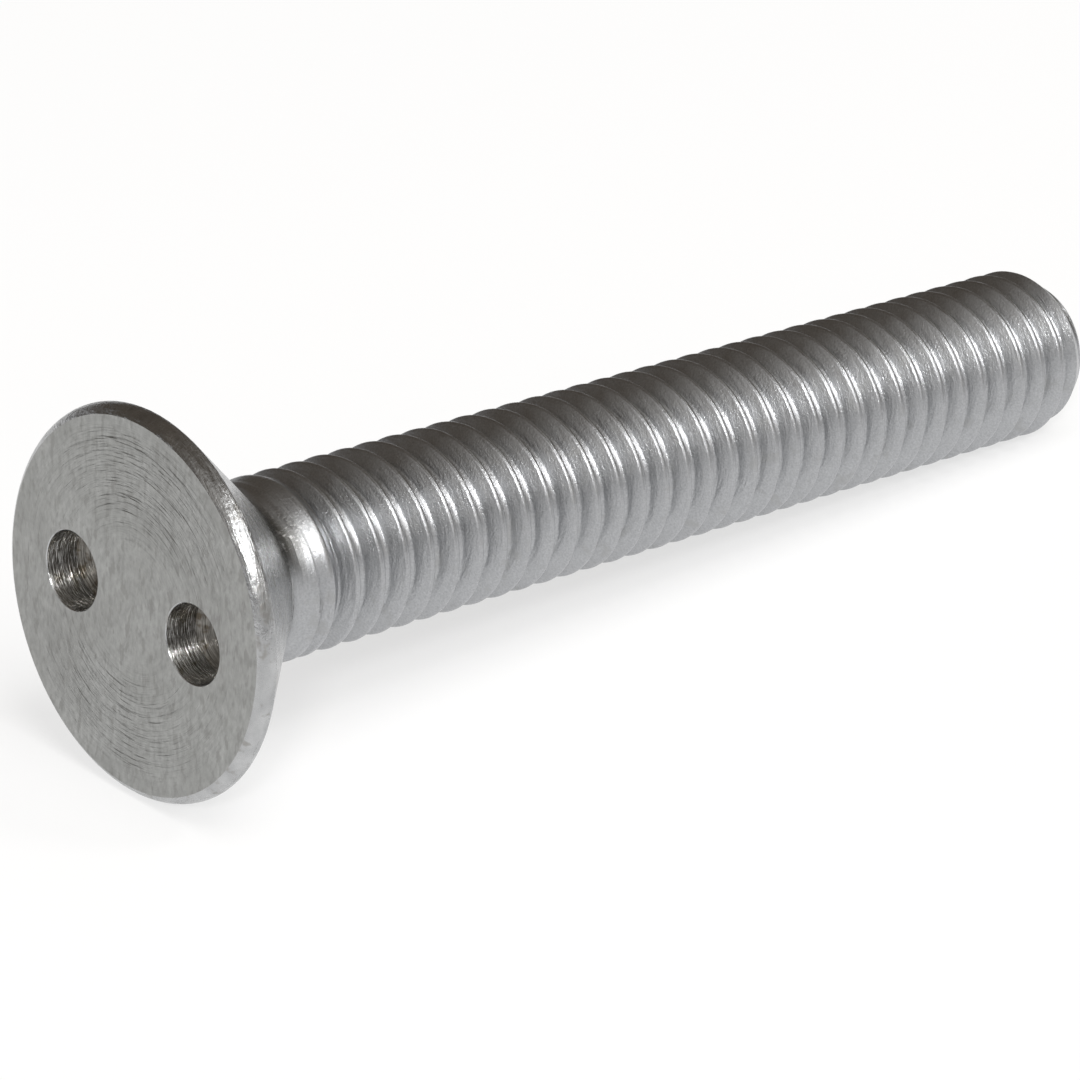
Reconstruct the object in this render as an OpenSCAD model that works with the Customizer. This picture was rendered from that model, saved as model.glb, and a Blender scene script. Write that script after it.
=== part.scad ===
// Spanner security screw: countersunk head with two blind spanner holes, M6 x 40,
// turned and threaded as one piece. It lies as it comes to rest on a flat surface,
// on the rim of its head and on the last full turn of its thread. The axis runs from
// the head toward +X and slopes down a little. Lengths in mm, +Z up, and the origin is
// on the surface, under the middle of the screw.

/* [Head] */
// Diameter across the outside of the rim
head_d = 12.3; // [11.8:0.1:13]
// Diameter of the flat face inside the rounded front edge of the rim
face_d = 11.7; // [11:0.1:11.7]
// Thickness of the head at the rim, from the face to the start of the cone
rim_h = 0.6; // [0.5:0.05:0.9]
// Radius of the rounded back edge of the rim
rim_round_r = 0.14; // [0.05:0.01:0.2]
// Included angle of the countersunk seat
seat_angle = 90; // [88:1:100]

/* [Spanner holes] */
// Diameter of each spanner hole
hole_d = 2.5; // [2:0.1:2.8]
// Distance between the two hole centres
hole_pcd = 5.8; // [5.2:0.1:6]
// Depth of the straight wall of each hole
hole_depth = 1.15; // [0.9:0.05:1.4]
// Included angle of the drilled bottom
drill_angle = 118; // [118:1:160]
// Turn of the pair of holes about the screw's axis, from level
hole_turn = 3; // [-90:1:90]

/* [Shank] */
// Overall length, from the face to the tip
length = 40; // [25:1:60]
// Diameter of the plain neck under the head
neck_d = 5.3; // [5.2:0.05:5.5]
// Distance from the face to the end of the plain neck
neck_end = 4.45; // [4.4:0.05:5]
// Length of the collar that rises from the neck to the thread
collar_l = 0.5; // [0.4:0.05:0.8]
// Length of the chamfer at the tip
tip_chamfer_l = 0.95; // [0.6:0.05:1.4]
// Diameter of the flat end of the tip
tip_d = 4.6; // [4.2:0.1:4.7]

/* [Thread] */
// Diameter over the crests
thread_d = 5.8; // [5.7:0.05:6]
// Distance from one turn to the next
pitch = 1; // [0.9:0.05:1.1]
// Depth of the thread
thread_depth = 0.55; // [0.4:0.01:0.56]
// Width of the flat on each crest
crest_w = 0.13; // [0.1:0.01:0.16]
// Included angle between the flanks
flank_angle = 60; // [50:1:60]
// Turns over which the groove deepens from nothing at the collar
run_out_turns = 0.8; // [0.5:0.1:1.5]
// Turn about the axis at which a crest lies a whole number of pitches from the face
thread_turn = 22.5; // [0:7.5:352.5]

/* [Hidden] */
round_fn = 128;
// Flat sides of the thread in one turn, and how far hidden ends reach into other solids
turn_sides = 24;
arc_steps = 4;
overlap = 0.12;
// Room by which the collar stands proud of the thread's first crest
collar_proud = 0.01;

head_r = head_d / 2;
face_r = face_d / 2;
neck_r = neck_d / 2;
crest_r = thread_d / 2;
seat_end = rim_h + (head_r - neck_r) / tan(seat_angle / 2);
collar_end = neck_end + collar_l;

// One turn of the thread, as steps along the axis: root, near flank, crest, far flank
flank_w = thread_depth * tan(flank_angle / 2);
root_w = pitch - crest_w - 2 * flank_w;
step_x = [0, root_w, root_w + flank_w, root_w + flank_w + crest_w];
step_depth = [thread_depth, thread_depth, 0, 0];
crest_x = root_w + flank_w + crest_w / 2;

// The thread's solid starts inside the head and neck, and its spare end is cut off at the tip
first_turn = floor((seat_end + crest_x) / pitch) - 1;
thread_start = first_turn * pitch - crest_x;
core_r = neck_r - overlap;
steps = len(step_x);
turns = ceil((length - thread_start) / pitch) + 1;
rows = turns * turn_sides;

// Rest pose: the rim's back edge and the last whole crest at the bottom share the surface.
// The crest touches it with a corner of its flat sides, which is at the bottom or just after
bottom_angle = 270;
past_bottom = (thread_turn + 360 - bottom_angle) % (360 / turn_sides);
corner_shift = (bottom_angle + past_bottom - thread_turn) / 360 * pitch;
last_crest_limit = length - tip_chamfer_l - crest_w / 2 - corner_shift;
rest_crest_x = floor(last_crest_limit / pitch) * pitch + corner_shift + crest_w / 2;
rest_crest_r = crest_r * cos(past_bottom);
rest_rim_x = rim_h - rim_round_r;
rest_tilt = atan((head_r - rest_crest_r) / (rest_crest_x - rest_rim_x));
face_z = head_r * cos(rest_tilt) + rest_rim_x * sin(rest_tilt);
rear_x = -face_r * sin(rest_tilt);
front_x = length * cos(rest_tilt) + tip_d / 2 * sin(rest_tilt);

// Radius of the thread's solid before the groove is cut: hidden core, then full thread
function blank_r(x) =
    x < neck_end ? core_r
    : x > collar_end ? crest_r
    : core_r + (crest_r - core_r) * (x - neck_end) / collar_l;

// Share of the full depth that the groove has after so many turns from the start
function groove_share(turn) =
    max(0, min(1, (thread_start + turn * pitch - collar_end + pitch / 2) / pitch / run_out_turns));

function thread_point(row, step) =
    let (
        turn = row / turn_sides,
        x = thread_start + turn * pitch + step_x[step],
        r = min(blank_r(x), crest_r - step_depth[step] * groove_share(turn)),
        angle = thread_turn + 360 * turn
    )
    [x, r * cos(angle), r * sin(angle)];

// Number of a point: the last step of a row meets the first step one turn later
function point_at(row, step) =
    step < steps
        ? (row < rows ? row * steps + step : rows * steps + row - rows)
        : point_at(row + turn_sides, 0);

// Solid of the threaded shank, with a fan of triangles that closes each end on the axis
module thread_solid() {
    points = concat(
        [for (row = [0:rows - 1], step = [0:steps - 1]) thread_point(row, step)],
        [for (row = [rows:rows + turn_sides - 1]) thread_point(row, 0)],
        [
            [thread_start + pitch / 2, 0, 0],
            [thread_start + (turns + 0.5) * pitch, 0, 0]
        ]
    );
    near_centre = len(points) - 2;
    far_centre = len(points) - 1;
    near_edge = concat(
        [for (row = [0:turn_sides]) point_at(row, 0)],
        [for (step = [steps - 1:-1:1]) point_at(0, step)]
    );
    last = rows - 1;
    far_edge = concat(
        [for (step = [0:steps - 1]) point_at(last, step)],
        [for (row = [last + turn_sides:-1:last + 1]) point_at(row, 0)]
    );
    faces = concat(
        [
            for (row = [0:last - 1], step = [0:steps - 1])
            let (
                a = point_at(row, step),
                b = point_at(row, step + 1),
                c = point_at(row + 1, step + 1),
                d = point_at(row + 1, step)
            )
            each [[a, b, c], [a, c, d]]
        ],
        [for (i = [0:len(near_edge) - 1])
            [near_centre, near_edge[i], near_edge[(i + 1) % len(near_edge)]]],
        [for (i = [0:len(far_edge) - 1])
            [far_centre, far_edge[i], far_edge[(i + 1) % len(far_edge)]]]
    );
    polyhedron(points = points, faces = faces, convexity = 10);
}

// Ring and slab that cut the chamfer and the flat end of the tip
module tip_cutter() {
    spare = 3 * pitch;
    slope = (crest_r - tip_d / 2) / tip_chamfer_l;
    turned([
        [tip_d / 2, length],
        [crest_r + spare * slope, length - tip_chamfer_l - spare],
        [crest_r + spare, length - tip_chamfer_l - spare],
        [crest_r + spare, length + spare],
        [0, length + spare],
        [0, length]
    ]);
}

// Solid turned about the X axis from an outline of radius and distance from the face
module turned(outline) {
    rotate([0, 90, 0]) rotate_extrude($fn = round_fn) polygon(outline);
}

module head() {
    // The front edge is an arc from the face, which ends level with the side of the rim
    edge_w = head_r - face_r;
    front_arc_r = (pow(rest_rim_x, 2) + pow(edge_w, 2)) / (2 * edge_w);
    front_arc_angle = asin(rest_rim_x / front_arc_r);
    front_arc = [
        for (a = [arc_steps:-1:1])
        [
            head_r - front_arc_r * (1 - cos(front_arc_angle * a / arc_steps)),
            rest_rim_x - front_arc_r * sin(front_arc_angle * a / arc_steps)
        ]
    ];
    back_arc = [
        for (a = [90:-15:90 - seat_angle / 2])
        [
            head_r - rim_round_r + rim_round_r * sin(a),
            rest_rim_x + rim_round_r * cos(a)
        ]
    ];
    arc_x = rest_rim_x + rim_round_r * cos(90 - seat_angle / 2);
    arc_r = head_r - rim_round_r + rim_round_r * sin(90 - seat_angle / 2);
    seat_foot = arc_x + (arc_r - neck_r) / tan(seat_angle / 2);
    turned(concat(
        [[0, 0]],
        front_arc,
        back_arc,
        [
            [neck_r, seat_foot],
            [neck_r, neck_end],
            [crest_r + collar_proud, collar_end],
            [0, collar_end]
        ]
    ));
}

// One blind hole with the cone that the drill leaves
module spanner_hole() {
    r = hole_d / 2;
    turned([
        [0, -1],
        [r, -1],
        [r, hole_depth],
        [0, hole_depth + r / tan(drill_angle / 2)]
    ]);
}

module screw() {
    color("silver")
    translate([-(rear_x + front_x) / 2, 0, face_z])
    rotate([0, rest_tilt, 0]) {
        difference() {
            head();
            for (side = [-1, 1])
                rotate([hole_turn, 0, 0]) translate([0, side * hole_pcd / 2, 0]) spanner_hole();
        }
        difference() {
            thread_solid();
            tip_cutter();
        }
    }
}

screw();
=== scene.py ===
import math

import bmesh
import bpy
from mathutils import Matrix, Vector


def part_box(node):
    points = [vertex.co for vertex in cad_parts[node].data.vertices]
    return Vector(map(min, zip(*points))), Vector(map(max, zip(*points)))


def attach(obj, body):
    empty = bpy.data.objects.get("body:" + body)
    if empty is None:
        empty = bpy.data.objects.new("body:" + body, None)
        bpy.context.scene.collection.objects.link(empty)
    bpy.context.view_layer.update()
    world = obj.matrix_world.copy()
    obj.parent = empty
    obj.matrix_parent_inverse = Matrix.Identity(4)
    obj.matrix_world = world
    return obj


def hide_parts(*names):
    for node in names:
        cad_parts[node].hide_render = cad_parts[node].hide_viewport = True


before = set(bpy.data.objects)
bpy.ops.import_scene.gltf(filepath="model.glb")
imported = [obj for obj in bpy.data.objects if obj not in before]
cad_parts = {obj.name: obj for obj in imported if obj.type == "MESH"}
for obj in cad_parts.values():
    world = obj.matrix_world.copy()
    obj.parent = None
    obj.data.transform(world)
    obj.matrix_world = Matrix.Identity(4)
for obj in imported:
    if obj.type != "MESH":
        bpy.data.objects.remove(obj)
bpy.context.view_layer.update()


# Camera
# A long lens stands in front of the head and to its left, and looks down on the lying
# screw, so that the face, the rim and the whole shank show.

MM = 0.001
CAMERA_PLACE = Vector((-94.85, -100.00, 68.80)) * MM
CAMERA_TURN = (math.radians(64.09), math.radians(0.13), math.radians(-42.53))

lens = bpy.data.cameras.new("camera")
lens.sensor_width = 36
lens.lens = 156.5
lens.clip_start = 0.005
lens.clip_end = 10
camera = bpy.data.objects.new("camera", lens)
camera.location = CAMERA_PLACE
camera.rotation_euler = CAMERA_TURN
bpy.context.scene.collection.objects.link(camera)
bpy.context.scene.camera = camera
bpy.context.scene.view_settings.view_transform = "Standard"


# Floor
# The sheet of plain white paper that the screw lies on. Part of its light is its own
# where the camera or the metal sees it, so that the ground is white and the shadow faint.

FLOOR_HALF = 3.0
PAPER = (0.90, 0.90, 0.90, 1)
OWN_LIGHT = 0.66


def feed(tree, node, inputs):
    """Give a node its inputs. Each is a value, or the socket that feeds it."""
    for socket, value in inputs.items():
        if isinstance(value, bpy.types.NodeSocket):
            tree.links.new(value, node.inputs[socket])
        else:
            node.inputs[socket].default_value = value


def add(tree, kind, inputs, **settings):
    made = tree.nodes.new("ShaderNode" + kind)
    for key, value in settings.items():
        setattr(made, key, value)
    feed(tree, made, inputs)
    return made


def worked_out(tree, operation, a, b):
    return add(tree, "Math", {0: a, 1: b}, operation=operation).outputs[0]


def new_material(name, constants):
    material = bpy.data.materials.new(name)
    material.use_nodes = True
    tree = material.node_tree
    shader = tree.nodes["Principled BSDF"]
    feed(tree, shader, constants)
    return material, tree, shader


def new_object(name, form):
    mesh = bpy.data.meshes.new(name)
    form.to_mesh(mesh)
    form.free()
    piece = bpy.data.objects.new(name, mesh)
    bpy.context.scene.collection.objects.link(piece)
    return piece


form = bmesh.new()
bmesh.ops.create_grid(form, x_segments=1, y_segments=1, size=FLOOR_HALF)
floor = new_object("floor", form)
paper, tree, shader = new_material(
    "paper", {"Base Color": PAPER, "Roughness": 0.9, "Specular IOR Level": 0.0})
rays = add(tree, "LightPath", {}).outputs
seen = worked_out(tree, "ADD", rays["Is Camera Ray"], rays["Is Glossy Ray"])
seen = worked_out(tree, "ADD", seen, rays["Is Transmission Ray"])
share = worked_out(tree, "MULTIPLY", seen, OWN_LIGHT)
white = add(tree, "Emission", {"Strength": 1.0})
sheet = add(tree, "MixShader", {0: share, 1: shader.outputs[0], 2: white.outputs[0]})
feed(tree, tree.nodes["Material Output"], {"Surface": sheet.outputs[0]})
floor.data.materials.append(paper)


# Lights
# Two small lamps, one to each side of the camera, make the streak on the rim, the bands in
# the holes and the glints along the crests. A soft panel stands between them, and a lamp
# overhead lights the paper. The room is dark, and pale on the near side above a low gap.

def toward(azimuth, elevation):
    """Direction from the screw, by degrees to the left of -X and degrees up."""
    a, e = math.radians(azimuth), math.radians(elevation)
    return Vector((-math.cos(a) * math.cos(e), math.sin(a) * math.cos(e), math.sin(e)))


def new_lamp(name, direction, distance, size, radiance):
    lamp = bpy.data.lights.new(name, "AREA")
    lamp.shape = "DISK"
    lamp.size = size
    lamp.energy = radiance * math.tau * math.pi * (size / 2) ** 2
    holder = bpy.data.objects.new(name, lamp)
    place = direction * distance
    holder.location = place
    holder.rotation_euler = place.to_track_quat("Z", "Y").to_euler()
    bpy.context.scene.collection.objects.link(holder)
    return holder


new_lamp("left_lamp", toward(-44, 33), distance=0.9, size=0.12, radiance=38)
new_lamp("right_lamp", toward(-128, 48), distance=0.9, size=0.16, radiance=8)
new_lamp("panel", toward(-80, 44), distance=1.1, size=0.60, radiance=1.6)
overhead = new_lamp("overhead", toward(-80, 70), distance=1.0, size=0.60, radiance=2.5)
overhead.visible_glossy = False

GAP_TONE = (0.24, 0.24, 0.245, 1)
BELT_TONE = (0.62, 0.60, 0.57, 1)
DARK_TONE = (0.112, 0.094, 0.076, 1)

# Where one tone passes into the next, along a part of the direction that is looked in
NEAR_SIDE_Y = (0.45, -0.20)
FAR_END_X = (0.60, 0.85)
BELT_TOP_Z = (0.84, 0.96)
GAP_TOP_Z = (0.10, 0.27)

world = bpy.data.worlds.new("room")
bpy.context.scene.world = world
world.use_nodes = True
room = world.node_tree
looked_in = add(room, "TexCoord", {}).outputs["Generated"]
looked_in_parts = add(room, "SeparateXYZ", {0: looked_in}).outputs


def eased_share(part, span):
    """From 0 at the start of the span to 1 at its end."""
    share = add(room, "MapRange", {
        "Value": looked_in_parts[part], "From Min": span[0], "From Max": span[1]},
        interpolation_type="SMOOTHSTEP")
    return share.outputs["Result"]


def mixed(tree, share, low, high):
    return add(tree, "Mix", {0: share, 6: low, 7: high}, data_type="RGBA").outputs[2]


near_side = mixed(room, eased_share("Y", NEAR_SIDE_Y), DARK_TONE, BELT_TONE)
near_side = mixed(room, eased_share("X", FAR_END_X), near_side, DARK_TONE)
belt = mixed(room, eased_share("Z", BELT_TOP_Z), near_side, DARK_TONE)
tone = mixed(room, eased_share("Z", GAP_TOP_Z), GAP_TONE, belt)
feed(room, room.nodes["Background"], {"Color": tone})


# Screw
# One piece of stainless steel: a turned head with a countersunk seat and two drilled
# spanner holes, a short plain neck, a collar, and the rolled M6 thread down to the tip.

QUARTER = math.radians(90)
HEAD_R = 6.15
FACE_R = 5.85
RIM_H = 0.6
RIM_ROUND_R = 0.14
SEAT_HALF_ANGLE = math.radians(45)
FILLET_L = 0.3
HOLE_R = 1.25
HOLE_PCD = 5.8
HOLE_DEPTH = 1.15
HOLE_MOUTH = 0.03
DRILL_HALF_ANGLE = math.radians(59)
HOLE_TURN = math.radians(3)
LENGTH = 40.0
NECK_R = 2.65
NECK_END = 4.45
COLLAR_L = 0.5
TIP_CHAMFER_L = 0.95
TIP_R = 2.3
CREST_R = 2.9
PITCH = 1.0
THREAD_DEPTH = 0.55
CREST_W = 0.13
FLANK_HALF_ANGLE = math.radians(30)
RUN_OUT_TURNS = 0.8
THREAD_TURN = math.radians(22.5)

# The screw's own axes: +X from the face to the tip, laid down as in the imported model,
# where the last whole crest rests on a corner of the 24 flat sides of its turn
PACKED_SIDE = math.radians(15)

low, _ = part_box("screw")
past_bottom = (THREAD_TURN + QUARTER) % PACKED_SIDE
corner_shift = (3 * QUARTER + past_bottom - THREAD_TURN) / math.tau * PITCH
last_crest = math.floor((LENGTH - TIP_CHAMFER_L - CREST_W / 2 - corner_shift) / PITCH) * PITCH
rest_crest_x = last_crest + corner_shift + CREST_W / 2
rest_rim_x = RIM_H - RIM_ROUND_R
REST_TILT = math.atan((HEAD_R - CREST_R * math.cos(past_bottom)) / (rest_crest_x - rest_rim_x))
face_z = HEAD_R * math.cos(REST_TILT) + rest_rim_x * math.sin(REST_TILT)
face_x = low[0] / MM + FACE_R * math.sin(REST_TILT)
FACE_PLACE = Vector((face_x, 0, face_z)) * MM
tilt_and_size = Matrix.Rotation(REST_TILT, 4, "Y") @ Matrix.Scale(MM, 4)
lay_down = Matrix.Translation(FACE_PLACE) @ tilt_and_size

AXIS = Vector((1, 0, 0))
CENTRE = Vector((0, 0, 0))
AROUND = 96
SAME_POINT = 1e-4


def turned(outline):
    """Solid turned about the X axis from points of (x, radius)."""
    form = bmesh.new()
    points = [form.verts.new((x, r, 0)) for x, r in outline]
    edges = [form.edges.new(pair) for pair in zip(points, points[1:])]
    bmesh.ops.spin(
        form, geom=points + edges, cent=CENTRE, axis=AXIS, angle=math.tau,
        steps=AROUND, use_merge=True)
    bmesh.ops.remove_doubles(form, verts=form.verts, dist=SAME_POINT)
    bmesh.ops.recalc_face_normals(form, faces=form.faces)
    return form


def arc(centre, radius, start, end, steps):
    """Points of (x, radius) on an arc, with angles from the +X axis toward the outside."""
    angles = [start + (end - start) * i / steps for i in range(steps + 1)]
    return [(centre[0] + radius * math.cos(a), centre[1] + radius * math.sin(a)) for a in angles]


back_arc = arc(
    (rest_rim_x, HEAD_R - RIM_ROUND_R), RIM_ROUND_R, QUARTER, QUARTER - SEAT_HALF_ANGLE, steps=5)
seat_foot = back_arc[-1][0] + (back_arc[-1][1] - NECK_R) / math.tan(SEAT_HALF_ANGLE)
fillet_r = FILLET_L / math.tan(SEAT_HALF_ANGLE / 2)
joint_x = seat_foot + FILLET_L
fillet = arc(
    (joint_x, NECK_R + fillet_r), fillet_r, -QUARTER - SEAT_HALF_ANGLE, -QUARTER, steps=6)
edge_w = HEAD_R - FACE_R
front_r = (rest_rim_x ** 2 + edge_w ** 2) / (2 * edge_w)
front_angle = math.asin(rest_rim_x / front_r)
front_arc = arc(
    (rest_rim_x, HEAD_R - front_r), front_r, QUARTER + front_angle, QUARTER, steps=10)
head_form = turned([(0, 0)] + front_arc + back_arc[1:] + fillet + [(joint_x, 0)])


def drill(piece, form):
    tool = new_object("drill", form)
    step = piece.modifiers.new("drill", "BOOLEAN")
    step.operation = "DIFFERENCE"
    step.solver = "EXACT"
    step.object = tool
    shaped = piece.evaluated_get(bpy.context.evaluated_depsgraph_get())
    piece.data = bpy.data.meshes.new_from_object(shaped)
    piece.modifiers.clear()
    bpy.data.objects.remove(tool)


# Each drill starts clear of the face and widens there, which breaks the hole's edge
DRILL_START = 1

screw = new_object("stainless_screw", head_form)
for side in (-1, 1):
    drill_form = turned([
        (-DRILL_START, 0), (-DRILL_START, HOLE_R + DRILL_START + HOLE_MOUTH),
        (HOLE_MOUTH, HOLE_R), (HOLE_DEPTH, HOLE_R),
        (HOLE_DEPTH + HOLE_R / math.tan(DRILL_HALF_ANGLE), 0)])
    bmesh.ops.translate(drill_form, verts=drill_form.verts, vec=(0, side * HOLE_PCD / 2, 0))
    bmesh.ops.rotate(
        drill_form, verts=drill_form.verts, cent=CENTRE,
        matrix=Matrix.Rotation(HOLE_TURN, 3, AXIS))
    drill(screw, drill_form)

# One pitch of the thread, with arcs at the root and the crest that meet both flanks
root_w = PITCH - CREST_W - 2 * THREAD_DEPTH * math.tan(FLANK_HALF_ANGLE)
root_mid = root_w / 2
crest_mid = root_mid + PITCH / 2
root_arc_r = root_w / 2 / math.tan(FLANK_HALF_ANGLE)
crest_arc_r = CREST_W / 2 / math.tan(FLANK_HALF_ANGLE)
root_arc_centre_r = CREST_R - THREAD_DEPTH + root_arc_r
flank_turn = QUARTER - FLANK_HALF_ANGLE
pitch_outline = arc(
    (root_mid, root_arc_centre_r), root_arc_r, -QUARTER, flank_turn - QUARTER, steps=4)
pitch_outline += arc(
    (crest_mid, CREST_R - crest_arc_r), crest_arc_r, QUARTER + flank_turn, QUARTER - flank_turn,
    steps=8)
pitch_outline += arc(
    (root_mid + PITCH, root_arc_centre_r), root_arc_r, -QUARTER - flank_turn, -QUARTER, steps=4)

# The profile winds once about the axis, and copies of that turn make the rest. The thread
# starts inside the head and ends past the tip, and both spare ends are cut off.
START_X = 2 * PITCH
SPARE_TURNS = 2
SAME_SEAM = 2e-3

turns = math.ceil((LENGTH - START_X) / PITCH) + SPARE_TURNS
shank = bmesh.new()
points = [shank.verts.new((START_X - crest_mid + x, r, 0)) for x, r in pitch_outline]
edges = [shank.edges.new(pair) for pair in zip(points, points[1:])]
bmesh.ops.spin(
    shank, geom=points + edges, cent=CENTRE, axis=AXIS, dvec=AXIS * (PITCH / AROUND),
    angle=math.tau, steps=AROUND)
one_turn = shank.verts[:] + shank.edges[:] + shank.faces[:]
for turn in range(1, turns):
    copied = bmesh.ops.duplicate(shank, geom=one_turn)["geom"]
    copied_points = [v for v in copied if isinstance(v, bmesh.types.BMVert)]
    bmesh.ops.translate(shank, verts=copied_points, vec=AXIS * (PITCH * turn))
bmesh.ops.remove_doubles(shank, verts=shank.verts, dist=SAME_SEAM)


def cut_at(form, x, **side):
    """Edges where a plane across the axis cuts the form, which loses a side if asked."""
    whole = form.verts[:] + form.edges[:] + form.faces[:]
    cut = bmesh.ops.bisect_plane(form, geom=whole, plane_co=(x, 0, 0), plane_no=AXIS, **side)
    return [e for e in cut["geom_cut"] if isinstance(e, bmesh.types.BMEdge)]


# The plain neck, the collar, the groove that runs out on it, and the chamfer at the tip
collar_end = NECK_END + COLLAR_L
for x in (NECK_END, (NECK_END + collar_end) / 2, collar_end, LENGTH - TIP_CHAMFER_L):
    cut_at(shank, x)
chamfer_slope = (CREST_R - TIP_R) / TIP_CHAMFER_L
helix_start = START_X - crest_mid + root_mid


# Turns by which a point just short of its own turn of the groove still counts as on it
TURN_SLACK = 1e-3


def limited(value):
    return min(1, max(0, value))


def eased(value):
    value = limited(value)
    return value * value * (3 - 2 * value)


for v in shank.verts:
    x = v.co.x
    r = math.hypot(v.co.y, v.co.z)
    around = math.atan2(v.co.z, v.co.y) % math.tau / math.tau
    whole_turns = math.floor((x - helix_start) / PITCH - around + TURN_SLACK)
    helix_x = helix_start + (whole_turns + around) * PITCH
    share = limited((helix_x - collar_end + PITCH / 2) / (PITCH * RUN_OUT_TURNS))
    blank_r = NECK_R + (CREST_R - NECK_R) * eased((x - NECK_END) / COLLAR_L)
    chamfer_r = TIP_R + (LENGTH - x) * chamfer_slope
    new_r = min(blank_r, CREST_R - (CREST_R - r) * share, chamfer_r)
    v.co.y *= new_r / r
    v.co.z *= new_r / r

# Head and shank become one body where the neck starts, bridged over a short gap
BRIDGE_L = 0.08
SQUARE_ON = 0.999
LEVEL = 0.01

tip_edges = cut_at(shank, LENGTH, clear_outer=True)
bmesh.ops.edgenet_fill(shank, edges=tip_edges)
cut_at(shank, joint_x + BRIDGE_L, clear_inner=True)
bmesh.ops.rotate(
    shank, verts=shank.verts, cent=CENTRE, matrix=Matrix.Rotation(THREAD_TURN, 3, AXIS))
bmesh.ops.remove_doubles(shank, verts=shank.verts, dist=SAME_POINT)
shank_mesh = bpy.data.meshes.new("shank")
shank.to_mesh(shank_mesh)
shank.free()
form = bmesh.new()
form.from_mesh(screw.data)
cap = [
    f for f in form.faces
    if f.normal.x > SQUARE_ON and f.calc_center_median().x > joint_x - LEVEL]
bmesh.ops.delete(form, geom=cap, context="FACES")
form.from_mesh(shank_mesh)
bpy.data.meshes.remove(shank_mesh)
loose = [v for v in form.verts if not v.link_edges]
bmesh.ops.delete(form, geom=loose, context="VERTS")
rims = [e for e in form.edges if e.is_boundary]
bmesh.ops.bridge_loops(form, edges=rims)
bmesh.ops.recalc_face_normals(form, faces=form.faces)

# Finishes of the screw's parts: where each lies, by distance from the face and radius
FACE, RIM, WALL, BOTTOM, SHANK = range(5)
SHARP = math.radians(32)
BESIDE_HOLE = 0.1
holes_end = HOLE_DEPTH + HOLE_R
holes_reach = HOLE_PCD / 2 + HOLE_R + BESIDE_HOLE


def finish_of(face):
    middle = face.calc_center_median()
    if face.normal.x < -SQUARE_ON and middle.x < LEVEL:
        return FACE
    if middle.x > seat_foot:
        return SHANK
    out = math.hypot(middle.y, middle.z)
    if middle.x < HOLE_MOUTH or middle.x > holes_end or out > holes_reach:
        return RIM
    return WALL if middle.x < HOLE_DEPTH else BOTTOM


for face in form.faces:
    face.material_index = finish_of(face)
    face.smooth = True
for edge in form.edges:
    if len(edge.link_faces) == 2:
        a, b = edge.link_faces
        edge.smooth = edge.calc_face_angle(0) < SHARP and a.material_index == b.material_index
bmesh.ops.transform(form, matrix=lay_down, verts=form.verts)
form.to_mesh(screw.data)
form.free()


# Materials
# The same bare steel, with the marks of each way of working it: fine rings from the lathe
# and the drill, small pits on the rolled thread, and smears and dark specks all over.
# The face is painted darker and the hole bottoms dark as painted shade, the hole walls paler as
# a painted highlight, and a patch by the neck holds a painted dark reflection.

STEEL = {"Metallic": 1.0}
EVEN = (1, 1, 1)

# Where the values of a noise mostly start and end
NOISE_START = 0.3
NOISE_END = 0.7


def new_group(name, inputs, outputs):
    """Node group, from pairs of a socket's name and its kind."""
    tree = bpy.data.node_groups.new(name, "ShaderNodeTree")
    for in_out, sockets in (("INPUT", inputs), ("OUTPUT", outputs)):
        for label, kind in sockets:
            tree.interface.new_socket(label, in_out=in_out, socket_type="NodeSocket" + kind)
    return tree, tree.nodes.new("NodeGroupInput").outputs, tree.nodes.new("NodeGroupOutput")


def use(tree, group, inputs):
    return add(tree, "Group", inputs, node_tree=group).outputs


def ranged(tree, value, low, high, start=NOISE_START, end=NOISE_END):
    """Low where the value is at its start, and high where it is at its end."""
    share = add(tree, "MapRange", {
        "Value": value, "From Min": start, "From Max": end, "To Min": low, "To Max": high})
    return share.outputs["Result"]


def toned(tree, noise, dark, pale):
    return mixed(tree, ranged(tree, noise, 0.0, 1.0), dark, pale)


def bumped(tree, *layers):
    """Normal from layers of height, each with its depth in mm, one upon the other."""
    under = {}
    for height, depth in layers:
        bump = add(tree, "Bump", {"Height": height, "Distance": depth * MM, **under})
        under = {"Normal": bump.outputs[0]}
    return bump.outputs[0]


# Where a point is in the screw's own axes, in mm, and how far it is from the axis
screw_place, _, result = new_group(
    "screw_place", [], [("Place", "Vector"), ("Along", "Float"), ("Out", "Float")])
coordinates = add(screw_place, "TexCoord", {})
own = add(screw_place, "Mapping", {
    "Vector": coordinates.outputs["Object"], "Location": FACE_PLACE,
    "Rotation": (0, REST_TILT, 0), "Scale": (MM, MM, MM)}, vector_type="TEXTURE")
parts = add(screw_place, "SeparateXYZ", {0: own.outputs[0]}).outputs
across = add(screw_place, "CombineXYZ", {"Y": parts["Y"], "Z": parts["Z"]})
out = add(screw_place, "VectorMath", {0: across.outputs[0]}, operation="LENGTH")
feed(screw_place, result, {
    "Place": own.outputs[0], "Along": parts["X"], "Out": out.outputs["Value"]})

# Rings left by a tool: fine along Across, and slow to change round the screw
TONE_SLOWNESS = 0.17
HEIGHT_DETAIL = 2.0
TONE_DETAIL = 3.0

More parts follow.
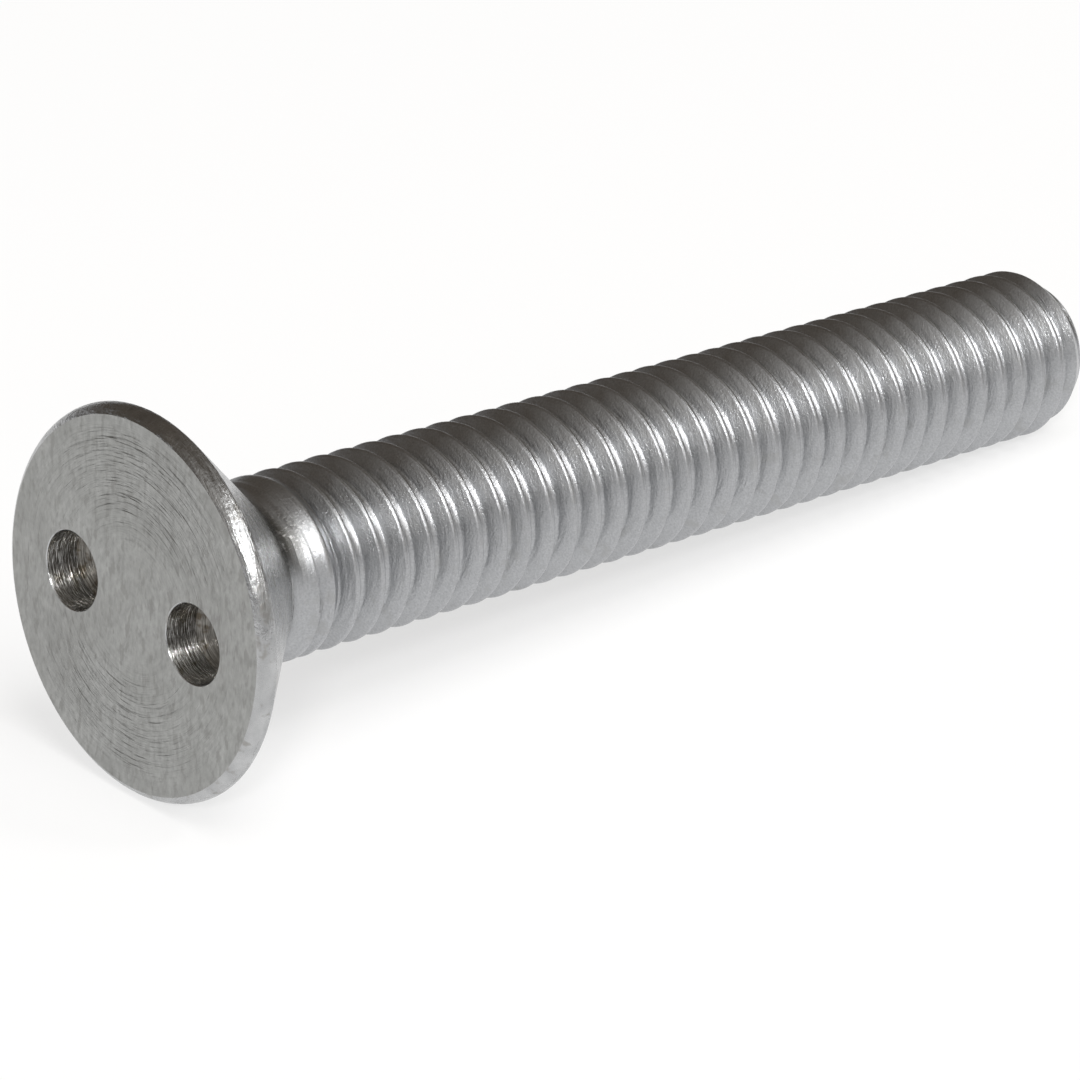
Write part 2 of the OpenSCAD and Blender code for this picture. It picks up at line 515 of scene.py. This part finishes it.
tool_rings, given, result = new_group(
    "tool_rings",
    [("Place", "Vector"), ("Across", "Float"), ("Per mm", "Float"), ("Break up", "Float")],
    [("Height", "Float"), ("Tone", "Float")])
fine = worked_out(tool_rings, "MULTIPLY", given["Across"], given["Per mm"])
slow = worked_out(tool_rings, "MULTIPLY", fine, TONE_SLOWNESS)
parts = add(tool_rings, "SeparateXYZ", {0: given["Place"]}).outputs
drift = [
    worked_out(tool_rings, "MULTIPLY", parts[part], given["Break up"]) for part in ("Y", "Z")]
for output, step, detail in (("Height", fine, HEIGHT_DETAIL), ("Tone", slow, TONE_DETAIL)):
    point = add(tool_rings, "CombineXYZ", {0: step, 1: drift[0], 2: drift[1]})
    noise = add(tool_rings, "TexNoise", {
        "Vector": point.outputs[0], "Scale": 1.0, "Detail": detail, "Roughness": 0.55})
    feed(tool_rings, result, {output: noise.outputs[0]})

# Specks and smears. Grain varies all over, and Mask is 1 for a share of the surface
MASK_EDGE = 0.78
MASK_SOFTNESS = 0.12

specks, given, result = new_group(
    "specks",
    [("Place", "Vector"), ("Per mm", "Float"), ("Stretch", "Vector"), ("Share", "Float")],
    [("Mask", "Float"), ("Grain", "Float")])
point = add(specks, "VectorMath", {0: given["Place"], 1: given["Stretch"]}, operation="MULTIPLY")
noise = add(specks, "TexNoise", {
    "Vector": point.outputs[0], "Scale": given["Per mm"], "Detail": 3.0, "Roughness": 0.6})
edge = worked_out(specks, "SUBTRACT", MASK_EDGE, given["Share"])
full = worked_out(specks, "ADD", edge, MASK_SOFTNESS)
mask = add(specks, "MapRange", {
    "Value": noise.outputs[0], "From Min": edge, "From Max": full},
    interpolation_type="SMOOTHSTEP")
feed(specks, result, {"Mask": mask.outputs["Result"], "Grain": noise.outputs[0]})

# The painted dark reflection: a dark patch with bright scratches, on the near side where the
# seat meets the neck, painted in for the dark surroundings that the neck mirrors there
PATCH_PLACE = (3.85, -1.85, 1.9)
PATCH_START = 0.5
PATCH_END = 1.4
PATCH_SHARE = 0.9

painted_dark_reflection, given, result = new_group(
    "painted_dark_reflection", [("Place", "Vector"), ("Scratches", "Float"), ("Colour", "Color")],
    [("Colour", "Color")])
away = add(painted_dark_reflection, "VectorMath", {0: given["Place"], 1: PATCH_PLACE}, operation="DISTANCE")
inside = ranged(
    painted_dark_reflection, away.outputs["Value"], PATCH_SHARE, 0.0, start=PATCH_START, end=PATCH_END)
patch = mixed(painted_dark_reflection, given["Scratches"], (0.15, 0.148, 0.14, 1), (0.6, 0.6, 0.59, 1))
feed(painted_dark_reflection, result, {"Colour": mixed(painted_dark_reflection, inside, given["Colour"], patch)})


# Lays the painted dark reflection patch, with its scratches, over a colour.
def with_painted_dark_reflection(tree, place, colour):
    scratches = use(tree, specks, {
        "Place": place["Place"], "Per mm": 15.0, "Stretch": (0.3, 1, 0.7), "Share": 0.24})
    patched = use(tree, painted_dark_reflection, {
        "Place": place["Place"], "Scratches": scratches["Mask"], "Colour": colour})
    return patched["Colour"]


# The turned face: rings about the centre, a dull grain, and darker strokes and clouds.
# The rings are deepest between the inner and the outer part of the face.
face_steel_painted_shade, tree, shader = new_material("turned_face_painted_shade", STEEL)
place = use(tree, screw_place, {})
rings = use(tree, tool_rings, {
    "Place": place["Place"], "Across": place["Out"], "Per mm": 8.0, "Break up": 0.7})
strokes = use(tree, specks, {
    "Place": place["Place"], "Per mm": 3.6, "Stretch": (1, 1, 0.45), "Share": 0.26})
grain = use(tree, specks, {
    "Place": place["Place"], "Per mm": 5.5, "Stretch": (1, 1, 0.6)})
clouds = use(tree, specks, {"Place": place["Place"], "Per mm": 0.5, "Stretch": EVEN})
# The face's tones are darker than the rest of the steel: painted shade for the head's shadow on
# the paper, which the face mirrors.
colour = toned(tree, grain["Grain"], (0.295, 0.298, 0.290, 1), (0.415, 0.418, 0.409, 1))
clouded = ranged(tree, clouds["Grain"], 0.45, 0.0)
colour = mixed(tree, clouded, colour, (0.25, 0.251, 0.241, 1))
stroked = ranged(tree, strokes["Mask"], 0.0, 0.7, start=0.0, end=1.0)
colour = mixed(tree, stroked, colour, (0.25, 0.249, 0.24, 1))
inner = ranged(tree, place["Out"], 0.15, 1.0, start=1.5, end=3.2)
outer = ranged(tree, place["Out"], 1.0, 0.3, start=5.0, end=5.6)
deep = worked_out(tree, "MULTIPLY", inner, outer)
groove = worked_out(tree, "MULTIPLY", rings["Height"], deep)
feed(tree, shader, {
    "Base Color": colour,
    "Roughness": ranged(tree, rings["Tone"], 0.30, 0.42),
    "Normal": bumped(tree, (groove, 0.070), (grain["Grain"], 0.010))})

# The turned rim and seat: rings across the screw, bright where they are clean
rim_steel, tree, shader = new_material("turned_rim", STEEL)
place = use(tree, screw_place, {})
rings = use(tree, tool_rings, {
    "Place": place["Place"], "Across": place["Along"], "Per mm": 13.0, "Break up": 1.2})
smears = use(tree, specks, {
    "Place": place["Place"], "Per mm": 2.0, "Stretch": EVEN, "Share": 0.22})
pits = use(tree, specks, {"Place": place["Place"], "Per mm": 8.0, "Stretch": EVEN})
colour = toned(tree, rings["Tone"], (0.385, 0.39, 0.395, 1), (0.51, 0.515, 0.52, 1))
colour = mixed(tree, smears["Mask"], colour, (0.33, 0.325, 0.315, 1))
feed(tree, shader, {
    "Base Color": with_painted_dark_reflection(tree, place, colour),
    "Roughness": ranged(tree, smears["Grain"], 0.22, 0.32),
    "Normal": bumped(tree, (rings["Height"], 0.045), (pits["Grain"], 0.012))})


def drilled_steel(name, dark, pale, stain, stain_share, roughness, ring_depth, smear_depth):
    """Steel with the coarse rings of a drill, which spread a light along the hole."""
    material, tree, shader = new_material(name, STEEL)
    place = use(tree, screw_place, {})
    rings = use(tree, tool_rings, {
        "Place": place["Place"], "Across": place["Along"], "Per mm": 24.0, "Break up": 1.2})
    smears = use(tree, specks, {
        "Place": place["Place"], "Per mm": 1.6, "Stretch": EVEN, "Share": stain_share})
    colour = mixed(tree, smears["Mask"], toned(tree, rings["Tone"], dark, pale), stain)
    feed(tree, shader, {
        "Base Color": colour,
        "Roughness": ranged(tree, smears["Grain"], *roughness),
        "Normal": bumped(tree, (rings["Height"], ring_depth), (smears["Grain"], smear_depth))})
    return material


# The walls of the holes, paler than the rest of the steel as a painted highlight that brightens
# the lamp's band along them, and their bottoms, dark as painted shade in the hollow; both carry
# stains of dried cutting oil
wall_steel_painted_highlight = drilled_steel(
    "drilled_wall_painted_highlight", dark=(0.50, 0.495, 0.482, 1), pale=(0.64, 0.635, 0.622, 1),
    stain=(0.31, 0.292, 0.26, 1), stain_share=0.25, roughness=(0.18, 0.26),
    ring_depth=0.042, smear_depth=0.01)
bottom_steel_painted_shade = drilled_steel(
    "drilled_bottom_painted_shade", dark=(0.18, 0.172, 0.158, 1), pale=(0.28, 0.27, 0.252, 1),
    stain=(0.12, 0.104, 0.083, 1), stain_share=0.3, roughness=(0.28, 0.38),
    ring_depth=0.05, smear_depth=0.02)

# The rolled thread and the neck: pitted a little, with the rings of the thread rolls
thread_steel, tree, shader = new_material("rolled_thread", STEEL)
place = use(tree, screw_place, {})
rings = use(tree, tool_rings, {
    "Place": place["Place"], "Across": place["Along"], "Per mm": 14.0, "Break up": 1.2})
pits = use(tree, specks, {"Place": place["Place"], "Per mm": 15.0, "Stretch": EVEN})
smears = use(tree, specks, {
    "Place": place["Place"], "Per mm": 1.2, "Stretch": (0.6, 1, 1), "Share": 0.22})
colour = toned(tree, pits["Grain"], (0.355, 0.361, 0.371, 1), (0.475, 0.482, 0.495, 1))
smeared = ranged(tree, smears["Mask"], 0.0, 0.5, start=0.0, end=1.0)
colour = mixed(tree, smeared, colour, (0.37, 0.372, 0.37, 1))
feed(tree, shader, {
    "Base Color": with_painted_dark_reflection(tree, place, colour),
    "Roughness": ranged(tree, smears["Grain"], 0.28, 0.40),
    "Normal": bumped(tree, (rings["Height"], 0.012), (pits["Grain"], 0.009))})

for steel in (face_steel_painted_shade, rim_steel, wall_steel_painted_highlight, bottom_steel_painted_shade, thread_steel):
    screw.data.materials.append(steel)

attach(screw, "root")
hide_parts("screw")
